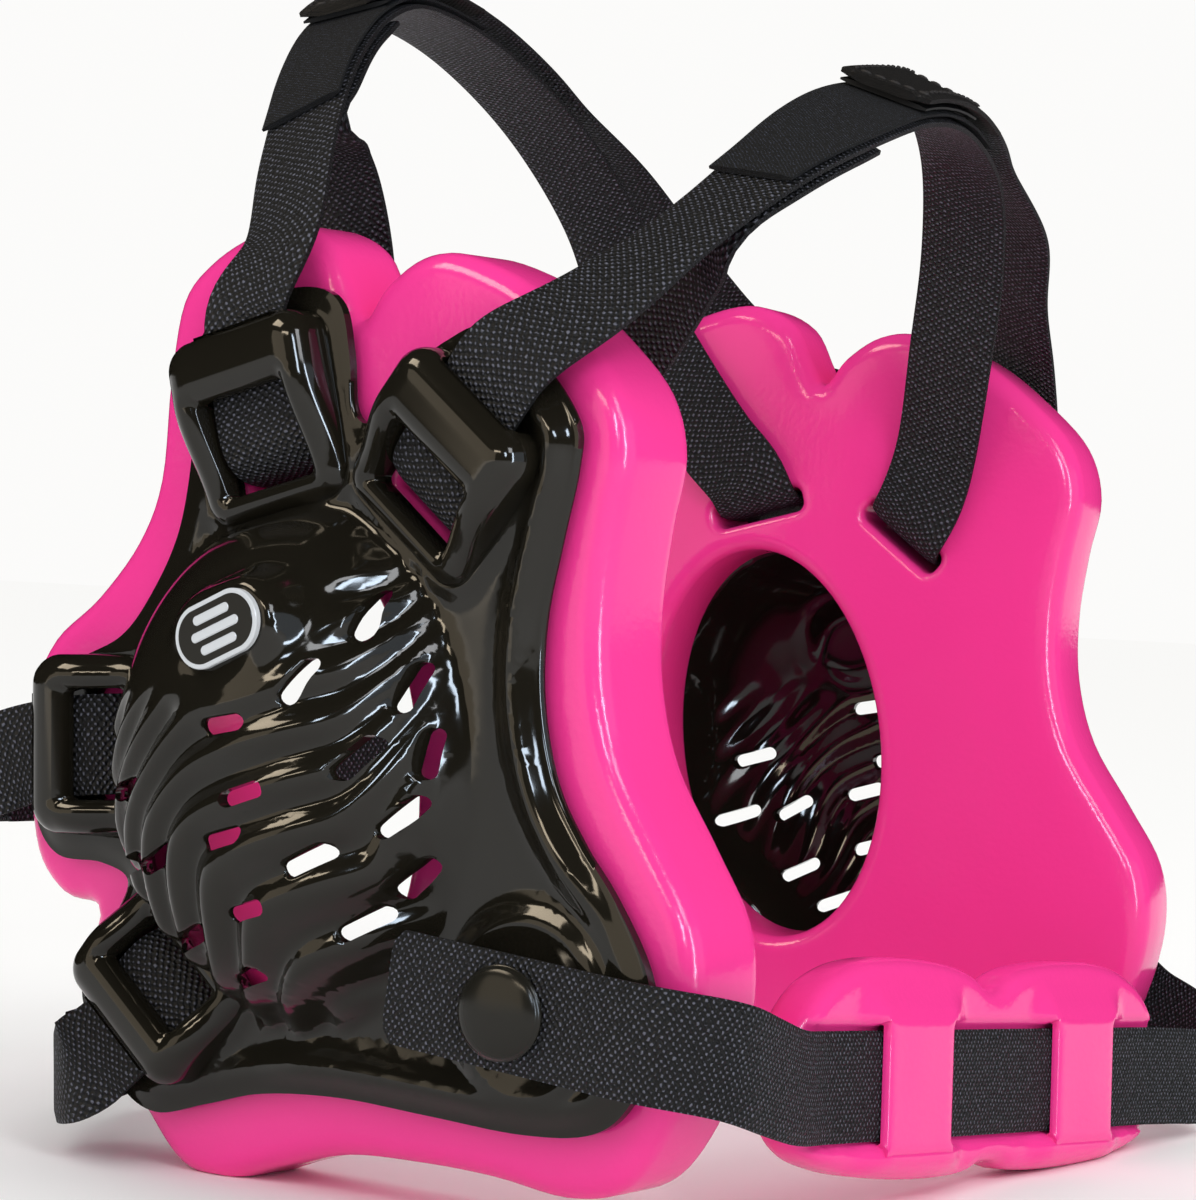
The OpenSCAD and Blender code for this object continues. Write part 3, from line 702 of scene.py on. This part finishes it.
def turned_part(name, side, profile, slot, body, *nodes):
    """A round part about the snap's axis from (radius, height) pairs."""
    n = 64
    points, faces = [], []
    for r, h in profile:
        for k in range(n):
            a = 2 * math.pi * k / n
            points.append((SIDES[side] * (SNAP_X + h), SNAP_Y + r * math.cos(a), SNAP_Z + r * math.sin(a)))
    for j in range(len(profile) - 1):
        for k in range(n):
            p, q = j * n + k, j * n + (k + 1) % n
            faces.append((p, q, q + n, p + n))
    faces.append(tuple(range(n)))
    faces.append(tuple(range((len(profile) - 1) * n, len(profile) * n)))
    part = build(name, points, faces, slot, body, sharp=40)
    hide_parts(*nodes)
    return part


def snap_cap(side):
    dome = [(CAP_R * math.cos(a) - 0.3, 7.1 + 1.6 * math.sin(a)) for a in np.linspace(0, 1.5, 10)]
    profile = [(2.0, 4.2), (2.0, 6.15), (CAP_R - 0.6, 6.1), (CAP_R, 6.5), (CAP_R, 6.9), *dome, (0.3, 8.72)]
    turned_part(f"{side}_snap_button", side, profile, "snap_cap", f"{side}_chin_end", f"{side}_snap_cap")


# ---- Webbing -------------------------------------------------------------------------------------
def even_path(stops, gap, smooth):
    """Points every gap millimetres along a path of (point, direction across), eased by some passes."""
    places = [s[0] for s in stops]
    across = [unit(np.asarray(s[1], float)) for s in stops]
    f = np.linspace(0, len(stops) - 1, 12 * (len(stops) - 1) + 1)
    p = np.array([spline(places, k) for k in f])
    a = np.array([spline(across, k) for k in f])
    run = np.concatenate([[0], np.cumsum(np.linalg.norm(np.diff(p, axis=0), axis=1))])
    s = np.linspace(0, run[-1], max(3, round(run[-1] / gap) + 1))
    p = np.column_stack([np.interp(s, run, p[:, k]) for k in range(3)])
    a = np.column_stack([np.interp(s, run, a[:, k]) for k in range(3)])
    for _ in range(smooth):
        p[1:-1] = 0.5 * p[1:-1] + 0.25 * (p[:-2] + p[2:])
        a[1:-1] = 0.5 * a[1:-1] + 0.25 * (a[:-2] + a[2:])
    t = unit(np.gradient(p, axis=0))
    a = unit(a - np.sum(a * t, axis=1, keepdims=True) * t)
    return p, a, np.cross(t, a), s


def strip(name, stops, width, thick, slot, body, gap=1.5, smooth=6, lift=0.0, corners=(0, 0), nodes=()):
    """A strap or tape along a path: a rounded flat section, with coordinates in millimetres for its weave."""
    p, a, out, s = even_path(stops, gap, smooth)
    p = p + lift * out
    around = []
    for k in range(10):
        x = -1 + 2 * k / 9
        around.append((x, 1))
    for k in range(10):
        x = 1 - 2 * k / 9
        around.append((x, -1))
    n = len(around)
    points, uv = [], []
    for i in range(len(p)):
        half = width / 2
        for corner, near_end in zip(corners, (s[i], s[-1] - s[i])):
            if near_end < corner:
                half -= corner - math.sqrt(corner**2 - (corner - near_end) ** 2)
        for x, top in around:
            edge = 1 - 0.55 * abs(x) ** 10
            points.append(p[i] + a[i] * x * half + out[i] * top * edge * thick / 2)
            uv.append((x * half + width / 2 + (0 if top > 0 else width + 3), s[i]))
    faces = []
    for i in range(len(p) - 1):
        for k in range(n):
            c, d = i * n + k, i * n + (k + 1) % n
            faces.append((c, d, d + n, c + n))
    for i, row in ((0, 1), (len(p) - 1, -1)):
        for k in range(9):
            faces.append((i * n + k, i * n + k + 1, i * n + n - 2 - k, i * n + n - 1 - k)[::row])
    piece = build(name, points, faces, slot, body, uv=uv, sharp=60)
    if nodes:
        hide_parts(*nodes)
    return piece


def stitches(name, stops, rows, lift, slot, body, length=2.0):
    """Short threads in rows along the path, each row (place across, from, to, step).

    A row of (None, at, half width, step) runs across the path instead.
    """
    p, a, out, s = even_path(stops, 0.5, 6)
    points, faces = [], []
    ring = 6

    def thread(centre, along, side, up):
        start = len(points)
        for i in range(5):
            x = (i / 4 - 0.5) * length
            r = 0.38 * math.sqrt(max(1 - (2 * x / length) ** 2, 0.06))
            for k in range(ring):
                c = 2 * math.pi * k / ring
                points.append(centre + along * x + side * r * math.cos(c) + up * r * math.sin(c))
        for i in range(4):
            for k in range(ring):
                c, d = start + i * ring + k, start + i * ring + (k + 1) % ring
                faces.append((c, d, d + ring, c + ring))
        faces.append(tuple(range(start, start + ring)))
        faces.append(tuple(range(start + 4 * ring, start + 5 * ring)))

    for place, first, last, pitch in rows:
        if place is None:
            i = int(np.argmin(abs(s - first)))
            along = np.cross(a[i], out[i])
            for x in np.arange(-last, last + 0.1, pitch):
                thread(p[i] + a[i] * x + out[i] * lift, a[i], along, out[i])
        else:
            for at in np.arange(first, last, pitch):
                i = int(np.argmin(abs(s - at)))
                along = np.cross(a[i], out[i])
                thread(p[i] + a[i] * place + out[i] * lift, along, a[i], out[i])
    return build(name, points, faces, slot, body, uv=np.zeros((len(points), 2)), sharp=80)


# ---- Routes over the head: (point on the webbing's middle, direction across), as in the CAD ------
DOWN = (0, 0, -1)
FRONT = {
    "main": [
        (right(-17.5, 113.5, RUN_W), right_dir(0.75, 0.66)), (right(-24, 121, RUN_W), right_dir(0.75, 0.66)),
        (right(-31, 128, RUN_W + 1), right_dir(0.8, 0.5)), ((-94, -38, 136), (0.3, 0.7, 0.5)),
        ((-82, -47, 147), (0.4, 0.6, 0.3)), ((-65, -54, 159), (0.3, 0.65, 0.3)),
        ((-44, -55, 168), (0.05, 0.8, 0.4)), ((-18, -52, 174), (0, 0.9, 0.4)),
        ((10, -47, 176), (0, 0.9, 0.5)), ((36, -40, 170), (-0.1, 0.9, 0.4)),
        ((52, -33, 156), (-0.1, 0.9, 0.3)), ((60, -27, 140), left_dir(0.9, 0.3)),
        (left(-19, 121, -3), left_dir(0.8, 0.5)),
    ],
    "sewn": [
        ((-73, -45, 146), (0.3, 0.6, 0.4)), ((-69, -33, 135), (0.1, 0.7, 0.6)),
        (right(-19, 118, -3), right_dir(0.75, 0.66)),
    ],
    "outer": [
        (left(-17.5, 113.5, RUN_W), left_dir(0.75, 0.66)), (left(-23, 121, RUN_W), left_dir(0.75, 0.66)),
        (left(-27, 129, RUN_W + 1), left_dir(0.8, 0.6)), ((92, -27, 141), (-0.1, 0.8, 0.5)),
        ((79, -31, 153), (-0.1, 0.8, 0.5)), ((63, -38, 164.5), (-0.1, 0.8, 0.5)),
    ],
}
REAR = {
    "main": [
        (right(20.2, 120, RUN_W), right_dir(0.98, -0.21)), (right(22, 130, RUN_W), right_dir(0.98, -0.21)),
        (right(22, 138, RUN_W + 1), right_dir(0.95, -0.1)), ((-92, 20, 149), (0.25, 1, 0)),
        ((-82, 24, 164), (0.3, 1, 0)), ((-66, 30, 180), (0.3, 1, 0)), ((-44, 38, 192), (0.2, 1, 0)),
        ((-18, 46, 198), (0.1, 1, 0)), ((14, 51, 196), (0, 1, 0)), ((42, 51, 185), (-0.1, 1, 0)),
        ((60, 48, 168), (-0.1, 1, 0)), ((63.5, 42, 150), (-0.2, 1, -0.1)),
        (left(27, 126, -3), left_dir(0.95, -0.3)),
    ],
    "sewn": [
        ((-69, 26, 166), (0.2, 1, 0)), ((-66, 24, 150), (0.1, 1, 0)),
        (right(23, 126, -3), right_dir(0.98, -0.21)),
    ],
    "outer": [
        (left(20.2, 120, RUN_W), left_dir(0.98, -0.21)), (left(22, 130, RUN_W), left_dir(0.98, -0.21)),
        (left(24, 138, RUN_W + 1), left_dir(0.98, -0.1)), ((90, 37, 150), (-0.1, 1, 0)),
        ((80, 46, 166), (-0.1, 1, 0)), ((66, 51, 180), (-0.1, 1, 0)),
    ],
}
UPPER = {
    "main": [
        (right(59, 68.3, RUN_W), DOWN), (right(66, 67.5, RUN_W), DOWN), (right(74, 66, RUN_W + 0.5), DOWN),
        ((-91, 80, 64), DOWN), ((-80, 89, 63), DOWN), ((-56, 99, 62), DOWN), ((-28, 104, 61), DOWN),
        ((0, 105.5, 61), DOWN), ((28, 104, 61), DOWN), ((50, 98, 62), DOWN), ((61, 89, 64), DOWN),
        (left(76, 67.5, -4), DOWN), (left(60, 68.5, -3), DOWN),
    ],
    "sewn": [((-66, 89, 63), DOWN), (right(73, 67, -5), DOWN), (right(60, 68.5, -3), DOWN)],
    "outer": [
        (left(59, 68.3, RUN_W), DOWN), (left(66, 67.5, RUN_W), DOWN), (left(74, 66, RUN_W + 0.5), DOWN),
        ((91, 80, 64), DOWN), ((84, 91, 63), DOWN), ((68, 100, 62), DOWN),
    ],
}
LOWER = {
    "main": [
        (right(44, 27.5, RUN_W), right_dir(-0.74, -0.67)), (right(49, 22, RUN_W), right_dir(-0.74, -0.67)),
        (right(55, 17.5, RUN_W + 1), right_dir(-0.5, -0.85)), ((-95, 59, 15.5), (0, -0.2, -1)),
        ((-86, 69, 14), DOWN), ((-66, 80, 14), DOWN), ((-36, 88, 14), DOWN), ((0, 91, 14), DOWN),
        ((34, 88, 14), DOWN), ((54, 80, 15), DOWN), ((63, 69, 20), left_dir(-0.25, -0.9)),
        (left(55, 27, -4), left_dir(-0.5, -0.8)), (left(45, 31, -3), left_dir(-0.74, -0.67)),
    ],
    "sewn": [
        ((-69, 71, 16), DOWN), (right(57, 25, -5), right_dir(-0.4, -0.9)),
        (right(45, 31, -3), right_dir(-0.74, -0.67)),
    ],
    "outer": [
        (left(44, 27.5, RUN_W), left_dir(-0.74, -0.67)), (left(49, 22, RUN_W), left_dir(-0.74, -0.67)),
        (left(55, 17.5, RUN_W + 1), left_dir(-0.5, -0.85)), ((95, 59, 15.5), (0, -0.2, -1)),
        ((88, 70, 14), DOWN), ((74, 80.5, 14), DOWN),
    ],
}
# name, route, loop, CAD tab node, sewn end, tab root and tip, loop tape from and to (places on the route)
STRAPS = [
    ("front", FRONT, "front", "front_strap_tab", "front_tab", 5.9, 8.0, 6.6, 4.7, 8.4),
    ("rear", REAR, "rear", "rear_strap_tab", "rear_tab", 5.9, 7.3, 5.8, 4.4, 7.7),
    ("upper_back", UPPER, "upper", "upper_back_tab", "upper_back_tab", 5.9, 8.0, 6.5, 4.9, 8.4),
    ("lower_back", LOWER, "lower", "lower_back_tab", "lower_back_tab", 5.9, 8.0, 6.6, 4.9, 8.4),
]
OVER = WEB_T + LOOP_T + HOOK_T + 3 * GAP
UNDER = WEB_T + GAP


def spot(route, f):
    return spline([s[0] for s in route], f), spline([s[1] for s in route], f)


def stretch(route, start, end, n, lift):
    """The part of a route between two of its places, raised off the webbing's middle."""
    stops = []
    for f in np.linspace(start, end, n + 1):
        p, a = spot(route, f)
        t = spot(route, f + 0.01)[0] - spot(route, f - 0.01)[0]
        stops.append((p + lift * unit(np.cross(t, a)), a))
    return stops


def through(loop, side):
    u, v, turn = loop[:3]
    c, s = math.cos(turn), math.sin(turn)
    rows = [
        (6, -2.2), (3.2, -2), (1, -0.9), (0, 1.5), (0, PAD_T / 2), (0, PAD_T + 0.5), (0.8, RUN_W - 2.6),
        (2.8, RUN_W - 0.7), (5, RUN_W),
    ]
    return [(cup(side, u + y * s, v + y * c, w), cup_direction(side, c, -s)) for y, w in rows]


def head_strap(name, route, loop, tab_node, tab_body, sewn_end, root, tip, tape_from, tape_to):
    """One webbing: sewn round the right cup's bar, over the head, through the left cup, back to its tab."""
    main = route["main"]
    long_part = (
        stretch(main, sewn_end, 4.3, 3, -UNDER) + route["sewn"] + through(LOOPS[loop], -1) + main
        + through(LOOPS[loop], 1) + route["outer"] + stretch(main, 9, root + 0.35, 4, OVER)
    )
    strap = f"{name}_strap"
    strip(f"{strap}_webbing", long_part, WEB_W, WEB_T, "webbing", "headgear", smooth=8, nodes=[strap])
    # the webbing is cut at the tab's root: the long strap ends there and the tab is a strip of its own
    stops = stretch(main, root + 0.35, tip, 9, OVER)
    tab = strip(f"{name}_pull_tab", stops, WEB_W, WEB_T, "tab", None, corners=(0, 2.5), nodes=[tab_node])
    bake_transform(tab)
    tape = stretch(main, tape_from, tape_to, 8, 0)
    strip(f"{name}_loop_pile", tape, WEB_W - 0.6, LOOP_T, "loop_tape", "headgear",
          lift=WEB_T / 2 + GAP + LOOP_T / 2, nodes=[f"{name}_loop_tape"])
    hook = stretch(main, tip + 0.05, root - 0.2, 6, 0)
    strip(f"{name}_hook_face", hook, WEB_W - 1, HOOK_T, "hook_tape", tab_body,
          lift=WEB_T / 2 + LOOP_T + 2 * GAP + HOOK_T / 2, nodes=[f"{name}_hook_tape"])
    half = WEB_W / 2 - 2
    tab_run = stretch(main, tip, root - 0.2, 8, OVER)
    ends = [(None, 2.5, half, 2.6), (None, 36, half, 2.6), (-half, 4, 35, 2.8), (half, 4, 35, 2.8)]
    stitches(f"{name}_tab_stitches", tab_run, ends, WEB_T / 2, "tab", tab_body)


# ---- Chin strap ----------------------------------------------------------------------------------
END_X = SNAP_X + 5.15
DROOP = {"right": math.radians(9), "left": math.radians(38)}
BEND = 20.0
END_TAIL = 20.5
CHIN_MID = np.array([0, -62, 11.3])
CHIN_ALONG = unit(np.array([1, -0.066, -0.079]))
LEVEL_UP = np.array([0.075, 0, 1])
CHIN_UP = unit(LEVEL_UP - (LEVEL_UP @ CHIN_ALONG) * CHIN_ALONG)
CHIN_OUT = np.cross(CHIN_ALONG, CHIN_UP)


def tail_stop(side, d, inward=0.0):
    """On a snap end's line, d before the snap towards the face."""
    droop = DROOP[side]
    x = SIDES[side] * (END_X - inward)
    place = (x, SNAP_Y - d * math.cos(droop), SNAP_Z - d * math.sin(droop))
    return place, (0, -math.sin(droop), math.cos(droop))


def run_stop(s):
    return (CHIN_MID + s * CHIN_ALONG, CHIN_UP)


CHIN_HALVES = {
    "right": [
        tail_stop("right", -END_TAIL), tail_stop("right", -8), tail_stop("right", 0), tail_stop("right", 10),
        tail_stop("right", BEND), tail_stop("right", BEND + 6, 1.2), ((-94, -61.5, 23.5), (0, -0.1, 1)),
        ((-82, -62, 20), (0.05, -0.05, 1)),
        ((-70, -60.5, 17.2), (0.06, 0, 1)), run_stop(-58), run_stop(-52), run_stop(-30), run_stop(0),
    ],
    "left": [
        tail_stop("left", -END_TAIL), tail_stop("left", -8), tail_stop("left", 0), tail_stop("left", 10),
        tail_stop("left", BEND), tail_stop("left", BEND + 6, 1.2), ((100.2, -57, 10.6), (0, -0.45, 0.9)),
        ((93, -64.5, 6.8), (0, -0.2, 1)), ((82, -68, 4.6), (0.05, 0, 1)), ((70, -67.2, 5.6), (0.06, 0, 1)),
        run_stop(58), run_stop(52), run_stop(30), run_stop(0),
    ],
}


def chin_strap(side):
    """Half of the chin strap with its snap end: it bends where the end lifts off its snap."""
    stops = CHIN_HALVES[side]
    half = strip(f"{side}_chin_half", stops, CHIN_W, WEB_T, "chin_webbing", None, smooth=4, corners=(2, 0),
                 nodes=["chin_strap", f"{side}_chin_end"])
    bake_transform(half)
    return half


LOBE = [
    (2.5, 15.8), (8, 18), (16, 19.5), (30, 20.3), (43, 19.8), (53, 17.5), (60, 13.5), (65, 7), (66.4, 0),
    (65, -6.5), (59, -11.3), (48, -13.9), (34, -15.2), (20, -15.6), (9, -15.2), (3, -13.8),
]
CHIN_PAD_T = 8.0
CHIN_BACK = -WEB_T / 2 - 0.3
CHIN_SHOULDER = 0.3
BRIDGE = (19, 41)
BRIDGE_RISE = 2.1
BRIDGE_LOW = -14.0
BRIDGE_HIGH = 15.5
BESIDE_STRAP = 10.6


def chin_to_head(p):
    p = np.asarray(p, float)
    return CHIN_MID + p[:, :1] * CHIN_ALONG + p[:, 1:2] * CHIN_UP + p[:, 2:3] * CHIN_OUT


def chin_front(x, y):
    """Height of the pad's front beside the strap: it swells where a bridge grows out of it."""
    middle, half = (BRIDGE[0] + BRIDGE[1]) / 2, (BRIDGE[1] - BRIDGE[0]) / 2
    across = step((half + 8 - np.abs(np.abs(x) - middle)) / 8)
    return CHIN_SHOULDER + BRIDGE_RISE * across * step((17 - np.abs(y)) / 6.5)


def chin_pad():
    ring = closed([(x, y) for x, y in LOBE] + [(-x, y) for x, y in LOBE[::-1]], 6)
    flat, triangles = plate(ring, [], 1.3, [0.25, 0.7, 1.3, 2.1, 3.0])
    drop = rounding(distance_to(ring, flat), 3.0)
    beside = step((np.abs(flat[:, 1]) - CHIN_W / 2 - 0.4) / 1.2)
    front = CHIN_BACK + (chin_front(*flat.T) - CHIN_BACK) * beside
    uvw, faces = two_sided(flat, triangles, front - drop, CHIN_BACK - CHIN_PAD_T + drop)
    row = on_table(chin_to_head(uvw))
    row[:, 2] = np.maximum(row[:, 2], 0)
    body = build("chin_pad_foam", row, faces, "pad_foam", "chin_pad", sharp=75, in_row=True)
    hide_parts("chin_pad")
    for sign in (-1, 1):
        chin_bridge(sign)


def chin_bridge(sign):
    """The part of the pad's front that crosses over the strap: it rises out of the pad above and below."""
    front = WEB_T / 2 + 0.3
    x0, x1 = sorted((sign * BRIDGE[0], sign * BRIDGE[1]))
    outline = densely(round_box(x0, x1, BRIDGE_LOW, BRIDGE_HIGH, 3.0), 1.0)
    flat, triangles = plate(outline, [], 1.4, [0.2, 0.6, 1.2])
    x, y = flat.T
    side_drop = rounding(np.minimum(x - x0, x1 - x), 1.2) * step((10.2 - np.abs(y)) / 1.2)
    top = chin_front(x, y) + 0.05 - side_drop - 0.8 * step((np.abs(y) - BESIDE_STRAP) / 2)
    over = step((BESIDE_STRAP - np.abs(y)) / 1.2)
    bottom = (CHIN_SHOULDER - 2.5) * (1 - over) + front * over
    bottom = np.minimum(bottom, top - 0.3)
    uvw, faces = two_sided(flat, triangles, top, bottom)
    row = on_table(chin_to_head(uvw))
    row[:, 2] = np.maximum(row[:, 2], 0)
    side = "right" if sign < 0 else "left"
    band = build(f"chin_pad_{side}_bridge", row, faces, "pad_foam", "chin_pad", sharp=75, in_row=True)
    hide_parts("chin_pad")


# ---- The object ----------------------------------------------------------------------------------
for side in SIDES:
    ear_pad(side)
    ear_shell(side)
    badge(side)
    snap_cap(side)
    chin_strap(side)
for strap in STRAPS:
    head_strap(*strap)
chin_pad()
for metal in ("snap_stud", "snap_washer", "snap_socket"):
    for side in SIDES:
        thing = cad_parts[f"{side}_{metal}"]
        thing.data.materials.clear()
        thing.data.materials.append(MATERIALS["snap_metal"])

# ---- Stage: pale floor, soft light, the photograph's viewpoint -----------------------------------
floor_mesh = bpy.data.meshes.new("floor")
floor_mesh.from_pydata([(-6, -6, 0), (6, -6, 0), (6, 6, 0), (-6, 6, 0)], [], [(0, 1, 2, 3)])
floor = bpy.data.objects.new("floor", floor_mesh)
bpy.context.scene.collection.objects.link(floor)
floor_mesh.materials.append(material("floor", (0.975, 0.975, 0.97), 0.9, Specular_IOR_Level=0.0))

world = bpy.data.worlds.new("studio")
bpy.context.scene.world = world
world.use_nodes = True
sky = world.node_tree.nodes["Background"]
sky.inputs["Color"].default_value = (1.0, 0.995, 0.985, 1)
sky.inputs["Strength"].default_value = 0.97
world.cycles_visibility.glossy = False


def soft_light(name, place, size, power, color, lights_surfaces=False):
    """An area light aimed at the object. Only the key lights matt surfaces; the others are seen in gloss."""
    light = bpy.data.lights.new(name, "AREA")
    light.shape = "RECTANGLE"
    light.size, light.size_y = size
    light.energy = power
    light.color = color
    thing = bpy.data.objects.new(name, light)
    thing.location = place
    thing.rotation_euler = (Vector((0, 0, 0.1)) - Vector(place)).to_track_quat("-Z", "Y").to_euler()
    thing.visible_diffuse = lights_surfaces
    bpy.context.scene.collection.objects.link(thing)


COOL = (0.72, 0.85, 1.0)
WARM = (1.0, 0.84, 0.62)
soft_light("key", (-0.75, -1.0, 0.9), (0.3, 0.4), 4, (0.95, 0.97, 1.0), lights_surfaces=True)
soft_light("cool_strip", (-0.62, -1.1, 0.25), (0.09, 0.8), 9, COOL)
soft_light("cool_window", (-1.15, -0.75, 0.55), (0.16, 0.3), 5, COOL)
soft_light("warm_panel", (-0.65, 0.5, 0.95), (0.6, 0.35), 8, WARM)
soft_light("warm_front", (-1.3, -0.1, 0.7), (0.5, 0.12), 3, WARM)
soft_light("wide_fill", (-1.5, 0.6, 0.3), (1.2, 1.0), 6, WARM)
soft_light("front_fill", (-0.2, -1.8, 0.5), (1.6, 0.9), 5, COOL)

CAMERA_PLACE = np.array([-568.16, -309.66, 82.57])
CAMERA_YAW = math.radians(29.75)
CAMERA_PITCH = math.radians(0.909)
LENS = 109.59
ahead = np.array([
    math.cos(CAMERA_PITCH) * math.cos(CAMERA_YAW), math.cos(CAMERA_PITCH) * math.sin(CAMERA_YAW),
    math.sin(CAMERA_PITCH),
])
camera_data = bpy.data.cameras.new("camera")
camera_data.lens = LENS
camera_data.clip_start = 0.01
camera = bpy.data.objects.new("camera", camera_data)
bpy.context.scene.collection.objects.link(camera)
back = -turned(ahead)[0]
sideways = np.cross(turned([0, 0, 1])[0], back)
sideways /= np.linalg.norm(sideways)
upward = np.cross(back, sideways)
turn = Matrix((sideways, upward, back)).transposed()
camera.matrix_world = Matrix.Translation(Vector(on_table(CAMERA_PLACE)[0])) @ turn.to_4x4()
bpy.context.scene.camera = camera
bpy.context.scene.view_settings.view_transform = "Standard"
